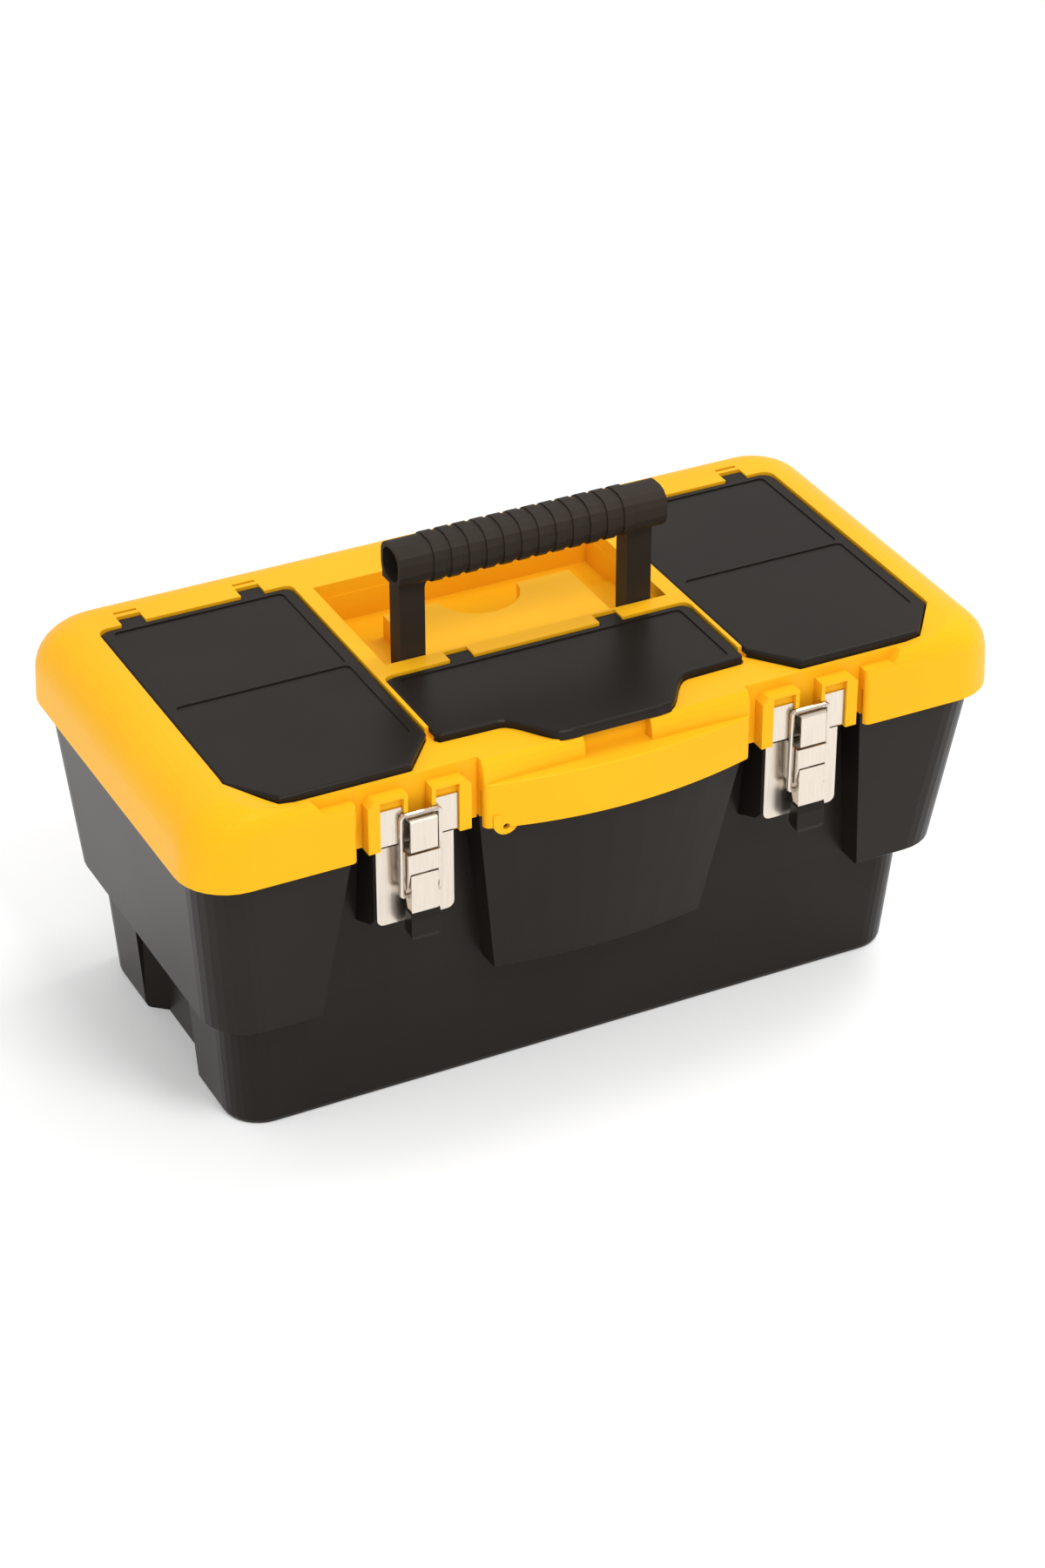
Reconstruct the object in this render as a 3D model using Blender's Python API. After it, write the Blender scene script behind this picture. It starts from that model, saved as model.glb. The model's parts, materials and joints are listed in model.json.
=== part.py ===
"""Toolbox with a lift-out tray, three lid organizers, folding handle and two draw latches."""

import bpy
import bmesh
from math import cos, sin, pi, sqrt, radians
from mathutils import Matrix, Vector

mm = 0.001

# ---- overall sizes -------------------------------------------------------
lid_half_length = 243 * mm       # half of the length over the lid's lower edge
lid_front = 127 * mm             # from the middle to the lid's front edge
lid_back = 127.5 * mm            # from the middle to the lid's back edge
lid_bottom = 186 * mm
lid_top = 231 * mm
lid_corner = 30 * mm
lid_wall = 3 * mm

tub_wall = 3 * mm
tub_rim = 190 * mm               # height of the tub's top edge
tub_under_lip = 6 * mm           # tub wall behind the lid's lower edge
step_height = 78 * mm            # where the tub steps in to its lower part
step_half_length = 225 * mm
step_front = 104.5 * mm
step_back = 115.5 * mm
step_bow = 6 * mm                # how far the middle panel bulges at the step
rim_bow = 6.5 * mm               # and at the rim
tub_corner = 27 * mm

foot_half_length = 208 * mm      # lower part, at the ground
foot_front = 82 * mm
foot_back = 110 * mm
foot_top_half_length = 213.5 * mm
foot_top_front = 88 * mm
foot_top_back = 113.5 * mm
foot_corner = 22 * mm
foot_round = 3 * mm              # rounding of the bottom edge
step_round = 1.5 * mm            # rounding under the step

# ---- front band of the lid -------------------------------------------------
band_half = 79.4 * mm
band_top = 212.5 * mm
band_stand = 0.5 * mm            # band in front of the lid at its ends
band_bow = 8.5 * mm              # and further in the middle
band_dip = 2.5 * mm              # lower edge drops this far in the middle
eye_x = -68 * mm                 # padlock eye under the band
eye_z = 185.5 * mm
eye_radius = 7.5 * mm
eye_hole = 2 * mm
eye_thick = 2.6 * mm
skirt_top = 211 * mm

# ---- lowered strip in front of the covers ----------------------------------
strip_drop = 5.2 * mm
strip_full = 186 * mm            # full depth inside this half width
strip_end = 213 * mm             # no depth beyond this half width
strip_back = 88 * mm
finger_half = 20 * mm            # finger notch under the middle cover's tongue
finger_floor = 213.2 * mm
finger_deep = 119.2 * mm

# ---- hand recesses in the ends -------------------------------------------
grip_recess_depth = 10.5 * mm
grip_recess_front = -26 * mm
grip_recess_back = 52 * mm
grip_recess_splay = 9 * mm

# ---- front bays with the latches -----------------------------------------
bay_inner_low = 63 * mm          # bay edges beside the middle panel
bay_inner_high = 80 * mm
bay_outer_low = 166 * mm         # bay edges beside the corners
bay_outer_high = 152.5 * mm
bay_wall_low = 88 * mm
bay_wall_high = 101 * mm
latch_x = 116.8 * mm             # middle of each latch

# ---- latches --------------------------------------------------------------
plate_width = 45 * mm
plate_bottom = 137.3 * mm
plate_top = 185.3 * mm
plate_thick = 1.2 * mm
plate_front = 119.6 * mm
latch_block_width = 47 * mm
latch_block_drop = 5 * mm
plate_corner = 4 * mm
pivot_y = 126.5 * mm
pivot_z = 167 * mm
latch_pin_radius = 1.3 * mm
pin_clearance = 0.2 * mm
lever_half_width = 7.75 * mm
lever_front = 5 * mm             # lever face in front of its pivot
lever_up = 4.6 * mm              # lever top above its pivot
lever_down = 18.5 * mm           # metal end below the pivot
lever_flange = 7.5 * mm
lever_tongue = 8 * mm            # part of the lever held in the tip
ear_gap = 0.35 * mm
ear_thick = 1.2 * mm
housing_bottom = 172.6 * mm
housing_top = 184.6 * mm
tip_half_width = 8.6 * mm
tip_length = 18 * mm
tip_thick = 9 * mm
tip_corner = 5 * mm               # rounding of its lower corners
eye_drop = 10 * mm               # wire eye below the lever pivot
wire_radius = 1.5 * mm
wire_half_width = 11.2 * mm
wire_top = 207 * mm
wire_front = 127.2 * mm           # middle of the wire's top bar, which rests over the hook
hook_front = 131.5 * mm
hook_half_width = 7.8 * mm
hook_bottom = 186.2 * mm
hook_top = 205.2 * mm
keeper_bottom = 190.1 * mm
keeper_top = 211.7 * mm
keeper_middle = 204 * mm          # the keeper is lower between its two tabs
tab_inner = 9.5 * mm              # inner edge of a keeper tab
keeper_front = 125.2 * mm
keeper_block_half = 29.6 * mm
keeper_block_front = 127 * mm
keeper_block_bottom = 188.6 * mm
keeper_block_top = 219.8 * mm
keeper_block_chamfer = 3.6 * mm
keeper_back_wall = 118.6 * mm
keeper_hood = 6.2 * mm             # pocket above the keeper plate
notch_half = 6.9 * mm              # open gap between the two frames
bay_return = 3 * mm               # thickness of the side walls of the lid's recess
ledge_end = 170 * mm              # lowered ledge on the lid beside each latch
ledge_slope = 7 * mm
ledge_height = 219.5 * mm
frame_inner_low = 209 * mm        # the frames' inner walls end here, above the hook
bay_edge_round = 3.5 * mm          # rounding of the lid's corners beside each latch

# ---- covers and their compartments ----------------------------------------
cover_thick = 2.6 * mm
cover_top = 230.2 * mm
cover_gap = 0.6 * mm
side_outer = 211 * mm
side_inner = 96 * mm
side_back = 84.5 * mm
side_front = 116 * mm
side_chamfer_y = 91 * mm
side_outer_chamfer = 20 * mm
side_inner_chamfer = 20.5 * mm
centre_half = 92.5 * mm
centre_back = -31 * mm
centre_front = 98 * mm
tongue_front = 123.5 * mm
tongue_half = 30 * mm
tongue_root = 57 * mm
lip_drop = 5.4 * mm              # depth of the covers' front lips
lip_thick = 3 * mm
cover_round = 1.8 * mm             # rounding of the covers' top edges
panel_deep = 0.7 * mm             # sunken panels in the covers
panel_side = 7 * mm               # cover edge to panel, at the sides
panel_back = 4.6 * mm             # and at the back
panel_corner = 3 * mm
panel_ridge_y = -7.6 * mm         # ridge between the two panels of a side cover
panel_ridge = 2.4 * mm
panel_front = 3 * mm              # front panel to the cover's cut corners
centre_panel_front = -92.5 * mm
bin_floor = 199 * mm
bin_ledge = 4.5 * mm
bin_wall = 2.5 * mm
centre_bin_front = 113 * mm

tab_width = 13.4 * mm
tab_gap = 0.35 * mm
tab_reach = 7 * mm               # cover edge to hinge axis
tab_radius = 1.9 * mm
stub_radius = 1.2 * mm
stub_length = 2 * mm
side_tab_x = (118.5 * mm, 189.5 * mm)
centre_tab_x = (-45.5 * mm, 45.5 * mm)
slot_back = 8 * mm               # slit behind each tab
slot_width = 2.2 * mm
slot_deep = 12 * mm

# ---- handle and its well ---------------------------------------------------
handle_half = 80.5 * mm
handle_pivot_y = -12 * mm
handle_pivot_z = 216 * mm
leg_width = 15 * mm
leg_inset = 4 * mm                # grip end to the leg's outer face
leg_front = 6.6 * mm
leg_back = 6.2 * mm
leg_foot = 5.6 * mm
grip_bottom = 62 * mm            # above the pivot
grip_top = 85.5 * mm
grip_front = 16.5 * mm
grip_back = 7.5 * mm
grip_round = 8.5 * mm
grip_wall = 2.6 * mm
grip_hollow = 9 * mm             # depth of the open ends
rib_count = 12
rib_pitch = 10.4 * mm
rib_width = 6.4 * mm
rib_height = 0.8 * mm
grip_fillet = 6 * mm              # rounding between the grip and the legs
handle_pin_radius = 2.5 * mm
handle_pin_length = 19.3 * mm
well_front = -19.5 * mm
well_back = 76 * mm
well_shelf = 222.5 * mm
well_floor = 206 * mm
trough_front = 44 * mm
channel_inner = 58 * mm
channel_outer = handle_half + 4.8 * mm
well_half = channel_outer + 0.7 * mm
scoop_radius = 25 * mm
well_wall = 2.5 * mm

# ---- rear hinges -----------------------------------------------------------
hinge_y = 128 * mm
hinge_z = 180 * mm
hinge_radius = 5 * mm
hinge_x = 150 * mm
hinge_lug_half = 12 * mm
hinge_ear_thick = 5 * mm
hinge_pin_radius = 2 * mm
hinge_gap = 0.4 * mm

# the whole box is centred over the origin
depth_shift = (lid_front + band_stand + band_bow - hinge_y - hinge_radius) / 2

# ---- tray -------------------------------------------------------------------
tray_half_length = 217 * mm
tray_front = 88 * mm
tray_back = 98 * mm
tray_bottom = 142.8 * mm
tray_top = 184 * mm
tray_wall = 2.5 * mm
tray_corner = 12 * mm
tray_wall_y = 8 * mm             # middle wall that carries the handle
tray_wall_thick = 5 * mm
tray_handle_half = 62 * mm
tray_handle_top = 193 * mm
tray_finger_half = 46 * mm
tray_finger_low = 164 * mm
tray_finger_high = 182 * mm
tray_divider_x = (-75 * mm, 75 * mm)
ledge_reach = 207 * mm
ledge_thick = 4 * mm
ledge_half = 62 * mm
ledge_gap = 0.4 * mm
touch_gap = 0.3 * mm

# ---- clean scene and shared helpers -----------------------------------------
for old in list(bpy.data.objects):
    bpy.data.objects.remove(old, do_unlink=True)

parts = bpy.data.collections.new("toolbox")
cutters = bpy.data.collections.new("toolbox cutters")
bpy.context.scene.collection.children.link(parts)
bpy.context.scene.collection.children.link(cutters)


def make_material(name, color, roughness, metallic=0.0):
    """A plain Principled material."""
    material = bpy.data.materials.new(name)
    material.use_nodes = True
    shader = material.node_tree.nodes["Principled BSDF"]
    shader.inputs["Base Color"].default_value = (*color, 1)
    shader.inputs["Roughness"].default_value = roughness
    shader.inputs["Metallic"].default_value = metallic
    return material


black_plastic = make_material("black plastic", (0.02, 0.019, 0.018), 0.45)
yellow_plastic = make_material("yellow plastic", (0.9, 0.45, 0.02), 0.4)
nickel_steel = make_material("nickel plated steel", (0.75, 0.72, 0.68), 0.3, 1.0)
grey_plastic = make_material("tray plastic", (0.05, 0.05, 0.05), 0.5)


def add_object(name, mesh, material=None):
    """Link a mesh as a part, or as a hidden cutter when it has no material."""
    thing = bpy.data.objects.new(name, mesh)
    if material:
        mesh.materials.append(material)
        parts.objects.link(thing)
        return thing
    cutters.objects.link(thing)
    thing.hide_render = True
    thing.display_type = "WIRE"
    return thing


def mesh_from(name, work):
    """Finish a bmesh into a mesh with its faces pointing out."""
    work.normal_update()
    bmesh.ops.recalc_face_normals(work, faces=work.faces)
    mesh = bpy.data.meshes.new(name)
    work.to_mesh(mesh)
    work.free()
    return mesh


def box(name, low, high, material=None):
    """An axis-aligned box between two corners."""
    work = bmesh.new()
    bmesh.ops.create_cube(work, size=1)
    for vert in work.verts:
        vert.co = Vector([low[i] + (vert.co[i] + 0.5) * (high[i] - low[i]) for i in range(3)])
    return add_object(name, mesh_from(name, work), material)


def rod(name, centre, radius, length, material=None, sides=16, axis="X"):
    """A round rod along X, Y or Z, centred on a point."""
    work = bmesh.new()
    bmesh.ops.create_cone(work, cap_ends=True, segments=sides, radius1=radius, radius2=radius, depth=length)
    for vert in work.verts:
        if axis == "X":
            vert.co = Vector((vert.co.z, vert.co.x, vert.co.y))
        if axis == "Y":
            vert.co = Vector((vert.co.y, vert.co.z, vert.co.x))
        vert.co += Vector(centre)
    return add_object(name, mesh_from(name, work), material)


def loft(name, rings, material=None):
    """Skin equal rings of points, closed at both ends."""
    work = bmesh.new()
    rows = [[work.verts.new(point) for point in ring] for ring in rings]
    count = len(rows[0])
    for lower, upper in zip(rows, rows[1:]):
        for i in range(count):
            work.faces.new((lower[i], lower[(i + 1) % count], upper[(i + 1) % count], upper[i]))
    work.faces.new(rows[0])
    work.faces.new(rows[-1])
    return add_object(name, mesh_from(name, work), material)


def plate_mesh(name, outline, thickness):
    """A filled 2D curve with a thickness, turned into a closed mesh."""
    curve = bpy.data.curves.new(name, "CURVE")
    curve.dimensions = "2D"
    curve.fill_mode = "BOTH"
    curve.extrude = thickness / 2
    path = curve.splines.new("POLY")
    path.points.add(len(outline) - 1)
    path.use_cyclic_u = True
    for point, (u, v) in zip(path.points, outline):
        point.co = (u, v, 0, 1)
    drawn = bpy.data.objects.new(name, curve)
    bpy.context.scene.collection.objects.link(drawn)
    seen = drawn.evaluated_get(bpy.context.evaluated_depsgraph_get())
    mesh = bpy.data.meshes.new_from_object(seen)
    bpy.data.objects.remove(drawn, do_unlink=True)
    mesh.materials.clear()
    return mesh


def placed(mesh, matrix):
    """Move a mesh, weld its caps and turn its faces out."""
    work = bmesh.new()
    work.from_mesh(mesh)
    bpy.data.meshes.remove(mesh)
    bmesh.ops.remove_doubles(work, verts=work.verts, dist=0.00001)
    bmesh.ops.dissolve_limit(work, angle_limit=radians(0.1), verts=work.verts, edges=work.edges)
    bmesh.ops.transform(work, matrix=matrix, verts=work.verts)
    return mesh_from("shape", work)


def prism(name, outline, low, high, material=None):
    """A flat outline in X and Y, extruded from one height to another."""
    matrix = Matrix.Translation((0, 0, (low + high) / 2))
    return add_object(name, placed(plate_mesh(name, outline, high - low), matrix), material)


def side_prism(name, outline, left, right, material=None):
    """An outline in Y and Z, extruded along X."""
    matrix = Matrix(((0, 0, 1, (left + right) / 2), (1, 0, 0, 0), (0, 1, 0, 0), (0, 0, 0, 1)))
    return add_object(name, placed(plate_mesh(name, outline, right - left), matrix), material)


def front_prism(name, outline, front, back, material=None):
    """An outline in X and Z, extruded along Y."""
    matrix = Matrix(((1, 0, 0, 0), (0, 0, -1, (front + back) / 2), (0, 1, 0, 0), (0, 0, 0, 1)))
    return add_object(name, placed(plate_mesh(name, outline, back - front), matrix), material)


boolean_steps = []


def cut(target, *tools):
    """Cut one object with others, once everything is drawn."""
    for tool in tools:
        boolean_steps.append((target, tool, "DIFFERENCE"))


def join(target, *tools):
    """Join others to one object, once everything is drawn."""
    for tool in tools:
        boolean_steps.append((target, tool, "UNION"))


def add_booleans():
    for target, tool, operation in boolean_steps:
        step = target.modifiers.new(operation.lower() + " " + tool.name, "BOOLEAN")
        step.operation = operation
        step.object = tool
        step.solver = "EXACT"


def set_origin(thing, point):
    """Put the object's origin on a point without moving its mesh."""
    offset = Vector(point)
    for vert in thing.data.vertices:
        vert.co -= offset
    thing.location = offset


def arc(cx, cy, radius, start, end, steps):
    """Points on an arc, both ends included."""
    angles = [radians(start + (end - start) * i / steps) for i in range(steps + 1)]
    return [(cx + radius * cos(a), cy + radius * sin(a)) for a in angles]


def body_ring(half, front, back, corner, z, bow=0.0, bow_half=bay_inner_high, steps=8, bow_steps=8):
    """A rounded rectangle whose front bulges over its middle."""
    points = []
    for i in range(bow_steps + 1):
        x = -bow_half + 2 * bow_half * i / bow_steps
        points.append((x, -front - bow * (1 - (x / bow_half) ** 2)))
    points += arc(half - corner, -front + corner, corner, -90, 0, steps)
    points += arc(half - corner, back - corner, corner, 0, 90, steps)
    points += arc(-half + corner, back - corner, corner, 90, 180, steps)
    points += arc(-half + corner, -front + corner, corner, 180, 270, steps)
    return [(x, y, z) for x, y in points]


def between(low, high, z, z_low=step_height, z_high=tub_rim):
    """A size that changes evenly with height."""
    return low + (high - low) * (z - z_low) / (z_high - z_low)


# ---- tub ---------------------------------------------------------------------
rim_half_length = lid_half_length - tub_under_lip
rim_front = lid_front - tub_under_lip
rim_back = lid_back - tub_under_lip


def upper_ring(z, inset=0.0):
    """Section of the tub above the step."""
    return body_ring(between(step_half_length, rim_half_length, z) - inset,
                     between(step_front, rim_front, z) - inset,
                     between(step_back, rim_back, z) - inset,
                     tub_corner - inset, z,
                     between(step_bow, rim_bow, z), between(bay_inner_low, bay_inner_high, z))


def lower_ring(z, inset=0.0):
    """Section of the tub below the step."""
    return body_ring(between(foot_half_length, foot_top_half_length, z, 0, step_height) - inset,
                     between(foot_front, foot_top_front, z, 0, step_height) - inset,
                     between(foot_back, foot_top_back, z, 0, step_height) - inset,
                     foot_corner - inset, z)


def bay(name, side, grow=0.0):
    """The space in front of one latch, wider as grow rises."""
    rings = []
    for z in (step_height - 10 * mm, tub_rim + 40 * mm):
        inner = side * (between(bay_inner_low, bay_inner_high, z) - grow)
        outer = side * (between(bay_outer_low, bay_outer_high, z) + grow)
        wall = -between(bay_wall_low, bay_wall_high, z) + grow
        front = -(lid_front + 30 * mm)
        rings.append([(inner, front, z), (outer, front, z), (outer, wall, z), (inner, wall, z)])
    return loft(name, rings)


def hand_recess(name, side, grow=0.0):
    """The splayed hollow under one end of the tub."""
    deep = foot_half_length - grip_recess_depth - grow
    out = foot_half_length + 20 * mm
    front, back = grip_recess_front - grow, grip_recess_back + grow
    outline = [(side * deep, front + grip_recess_splay), (side * foot_half_length, front),
               (side * out, front), (side * out, back), (side * foot_half_length, back),
               (side * deep, back - grip_recess_splay)]
    return prism(name, outline, -5 * mm, step_height + grow)


def latch_block(name, side, inset=0.0):
    """The boss behind one latch plate, with a sloping underside."""
    front = -(plate_front - plate_thick - touch_gap) + inset
    back = -(bay_wall_low - tub_wall) + inset
    low, high = plate_bottom - 2 * mm + inset, tub_rim - 3 * mm - inset
    outline = [(front, low + latch_block_drop), (front, high), (back, high), (back, low - 12 * mm + inset),
               (front + latch_block_drop, low)]
    half = latch_block_width / 2 - inset
    return side_prism(name, outline, side * latch_x - half, side * latch_x + half)


def make_tub():
    tub = loft("base_tub", [lower_ring(0, foot_round * 0.8), lower_ring(foot_round * 0.25, foot_round * 0.25),
                            lower_ring(foot_round), lower_ring(step_height)], black_plastic)
    cut(tub, hand_recess("recess left", -1), hand_recess("recess right", 1))
    upper = loft("upper tub", [upper_ring(step_height, step_round), upper_ring(step_height + step_round),
                               upper_ring(tub_rim)])
    cut(upper, bay("bay left", -1), bay("bay right", 1))
    join(tub, upper, latch_block("latch block left", -1), latch_block("latch block right", 1))

    lower_space = loft("lower space", [lower_ring(tub_wall, tub_wall),
                                       lower_ring(step_height + 4 * mm, tub_wall)])
    cut(lower_space, hand_recess("recess wall left", -1, tub_wall),
        hand_recess("recess wall right", 1, tub_wall))
    upper_space = loft("upper space", [upper_ring(step_height + tub_wall, tub_wall),
                                       upper_ring(tub_rim + 5 * mm, tub_wall)])
    cut(upper_space, bay("bay wall left", -1, tub_wall), bay("bay wall right", 1, tub_wall))
    cut(tub, lower_space, upper_space)
    cut(tub, latch_block("block space left", -1, tub_wall), latch_block("block space right", 1, tub_wall))

    ledge_top = tray_bottom - ledge_gap
    for side, word in ((-1, "left"), (1, "right")):
        wall_x = side * (between(step_half_length, rim_half_length, ledge_top) - tub_wall / 2)
        ledge = [(side * ledge_reach, ledge_top - ledge_thick), (side * ledge_reach, ledge_top),
                 (wall_x, ledge_top), (wall_x, ledge_top - 14 * mm)]
        shelf = loft("ledge " + word, [[(x, y, z) for x, z in ledge] for y in (-ledge_half, ledge_half)])
        join(tub, shelf)
        for place in (-1, 1):
            ear_x = side * hinge_x + place * (hinge_lug_half + hinge_gap + hinge_ear_thick / 2)
            join(tub, hinge_lug("ear " + word + str(place), ear_x, hinge_ear_thick,
                                rim_back - 1 * mm, -8 * mm))
        cut(tub, rod("hinge hole " + word, (side * hinge_x, hinge_y, hinge_z),
                     hinge_pin_radius + pin_clearance, 60 * mm))
    return tub


def hinge_lug(name, x, width, root_y, root_low):
    """A rounded lug on the hinge axis, rooted in the wall at root_y."""
    outline = arc(hinge_y, hinge_z, hinge_radius, -60, 90, 6)
    outline += [(root_y, hinge_z + hinge_radius), (root_y, hinge_z + root_low)]
    return side_prism(name, outline, x - width / 2, x + width / 2)


# ---- lid -----------------------------------------------------------------------
side_roll = (28 * mm, 203 * mm)     # how far the ends roll over, and from what height
back_roll = (24 * mm, 203 * mm)
front_roll = (13 * mm, 213 * mm)


def roll(shape, z):
    """How far a rolled edge has come in at a height."""
    reach, start = shape
    if z <= start:
        return 0.5 * mm * (z - lid_bottom) / (start - lid_bottom)
    t = min(1.0, (z - start) / (lid_top - start))
    return 0.5 * mm + reach * (1 - sqrt(1 - t * t))


def lid_ring(z, inset=0.0, shade=0.0):
    """Section of the lid, inset for its inside and with shade for the roof's thickness."""
    level = min(z + shade, lid_top)
    ends = roll(side_roll, level) + inset
    return body_ring(lid_half_length - ends, lid_front - roll(front_roll, level) - inset,
                     lid_back - roll(back_roll, level) - inset,
                     lid_corner - 0.5 * ends - 0.3 * inset, z, 0, bay_inner_high, 8, 2)


def side_cover_outline(side, grow=0.0):
    """Plan of a side cover, with its cut front corners."""
    outer, inner = side_outer + grow, side_inner - grow
    back, front = side_back + grow, -side_front - grow
    chamfer = -side_chamfer_y - grow * 0.4
    points = [(inner + side_inner_chamfer, front), (outer - side_outer_chamfer, front), (outer, chamfer)]
    points += arc(outer - 6 * mm, back - 6 * mm, 6 * mm, 0, 90, 3)
    points += arc(inner + 4 * mm, back - 4 * mm, 4 * mm, 90, 180, 2)
    points += [(inner, chamfer)]
    return [(side * x, y) for x, y in points]


def centre_cover_outline(grow=0.0):
    """Plan of the middle cover, with its forward tongue between two S-curves."""
    half, back = centre_half + grow, centre_back + grow
    front, tip = -centre_front - grow, -tongue_front - grow
    right = [(tongue_half - 4 * mm, tip)]
    for i in range(1, 8):
        t = i / 8
        x = tongue_half + (tongue_root - tongue_half) * t
        right.append((x, tip + (front - tip) * (0.5 - 0.5 * cos(pi * t))))
    right += [(tongue_root, front), (half - 2 * mm, front + 1 * mm), (half, front + 4 * mm)]
    right += arc(half - 5 * mm, back - 5 * mm, 5 * mm, 0, 90, 3)
    left = [(-x, y) for x, y in reversed(right)]
    return right + left


def bin_outline(side, grow=0.0):
    """Inside of a side compartment, within the ledge that its cover rests on."""
    outer, inner = side_outer - bin_ledge + grow, side_inner + bin_ledge - grow
    back, front = side_back - bin_ledge + grow, -(side_front - bin_ledge - 1.5 * mm) - grow
    chamfer = -side_chamfer_y
    points = [(inner + side_inner_chamfer - 3 * mm, front), (outer - side_outer_chamfer + 3 * mm, front),
              (outer, chamfer), (outer, back), (inner, back), (inner, chamfer)]
    return [(side * x, y) for x, y in points]


def centre_bin_outline(grow=0.0):
    """Inside of the middle compartment."""
    half = centre_half - bin_ledge + grow
    back = centre_back - bin_ledge + grow
    front = -(centre_front - bin_ledge) - grow
    tip = -(centre_bin_front) - grow
    width = tongue_half - bin_ledge + grow
    root = tongue_root - bin_ledge + grow / 2
    return [(-half, front + 3 * mm), (-root, front), (-width, tip), (width, tip),
            (root, front), (half, front + 3 * mm), (half, back), (-half, back)]


def tab_places():
    """Name, middle X and hinge Y of each cover's tabs."""
    for side, word in ((-1, "left"), (1, "right")):
        for i, x in enumerate(side_tab_x):
            yield "tab " + word + str(i), side * x, side_back + tab_reach
    for i, x in enumerate(centre_tab_x):
        yield "tab centre" + str(i), x, centre_back + tab_reach


tab_z = cover_top - tab_radius


def well_shape(name, part, grow=0.0):
    """One stretch of the handle's well: shelf, trough, channels or scoop."""
    top = lid_top + 5 * mm
    if part == "shelf":
        return box(name, (-well_half - grow, well_front - grow, well_shelf - grow),
                   (well_half + grow, well_back + grow, top))
    if part == "trough":
        return box(name, (-channel_outer - grow, trough_front - grow, well_floor - grow),
                   (channel_outer + grow, well_back - 0.5 * mm + grow, top))
    if part == "scoop":
        outline = arc(0, trough_front + 1 * mm, scoop_radius + grow, 180, 360, 10)
        outline += [(scoop_radius + grow, trough_front + 5 * mm),
                    (-scoop_radius - grow, trough_front + 5 * mm)]
        return prism(name, outline, well_floor - grow, top)
    side = -1 if part == "left channel" else 1
    inner, outer = sorted((side * (channel_inner - grow), side * (channel_outer + grow)))
    return box(name, (inner, well_front - grow, well_floor + 2.5 * mm - grow),
               (outer, trough_front + 2 * mm + grow, top))


def strip(name, lower=0.0):
    """The space over the lowered strip in front of the covers, fading out at the corners."""
    rings = []
    for i in range(-14, 15):
        x = strip_end * i / 14
        fade = min(1.0, max(0.0, (strip_end - abs(x)) / (strip_end - strip_full)))
        floor = lid_top - strip_drop * fade * fade * (3 - 2 * fade) - lower + 0.01 * mm
        front, back = -lid_front - 9 * mm, -strip_back + lower
        rings.append([(x, front, floor), (x, back, floor),
                      (x, back, lid_top + 9 * mm), (x, front, lid_top + 9 * mm)])
    return loft(name, rings)


def cover_lip(name, outline, line, gap=0.0, material=None):
    """The front lip of a cover: the edge of its outline in front of a line."""
    low = cover_top - lip_drop - gap
    high = lid_top + 8 * mm if gap else cover_top - cover_round - 0.05 * mm
    lip = prism(name, outline(gap if gap else -0.05 * mm), low, high, material)
    cut(lip, prism(name + " core", outline(-lip_thick - gap), low - 1 * mm, high + 1 * mm),
        box(name + " rest", (-lid_half_length, line - 0.5 * mm + gap, low - 2 * mm),
            (lid_half_length, lid_back, high + 2 * mm)))
    return lip


def cover_outlines():
    """Each cover's plan, and the line that its lip starts in front of."""
    yield "left", lambda grow=0.0: side_cover_outline(-1, grow), -side_chamfer_y
    yield "right", lambda grow=0.0: side_cover_outline(1, grow), -side_chamfer_y
    yield "centre", centre_cover_outline, -(centre_front - 5 * mm)


def band_ring(x):
    """Section of the bowed front band at one X."""
    bulge = 1 - (x / band_half) ** 2
    front = -lid_front - band_stand - band_bow * bulge
    low = lid_bottom - band_dip * bulge
    back = -lid_front + lid_wall
    return [(x, back, low), (x, front, low), (x, front, band_top - 0.6 * mm),
            (x, front + 0.6 * mm, band_top), (x, back, band_top + 0.6 * mm)]


def make_band():
    band = loft("front band", [band_ring(band_half * i / 10) for i in range(-10, 11)])
    depth = -lid_front - band_bow * (1 - (eye_x / band_half) ** 2)
    lobe = arc(eye_x, eye_z + eye_radius * 0.35, eye_radius, 180, 360, 10)
    lobe += [(eye_x + eye_radius, eye_z + 8 * mm), (eye_x - eye_radius, eye_z + 8 * mm)]
    join(band, front_prism("eye lobe", lobe, depth, depth + eye_thick))
    return band


def bay_front_outline(side):
    """Plan of the lid's recess at one latch, with rounded edges where it meets the lid's front."""
    inner, outer = bay_inner_high - touch_gap, bay_outer_high - touch_gap
    turn, far = bay_edge_round, -lid_front - 20 * mm
    band_front = -lid_front - 1.2 * mm
    points = [(inner, -keeper_back_wall), (outer, -keeper_back_wall)]
    points += arc(outer + turn, -lid_front + turn, turn, 180, 270, 4)
    points += [(outer + turn, far), (inner - turn, far)]
    points += arc(inner - turn, band_front + turn, turn, 270, 360, 4)
    return [(side * x, y) for x, y in points]


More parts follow.
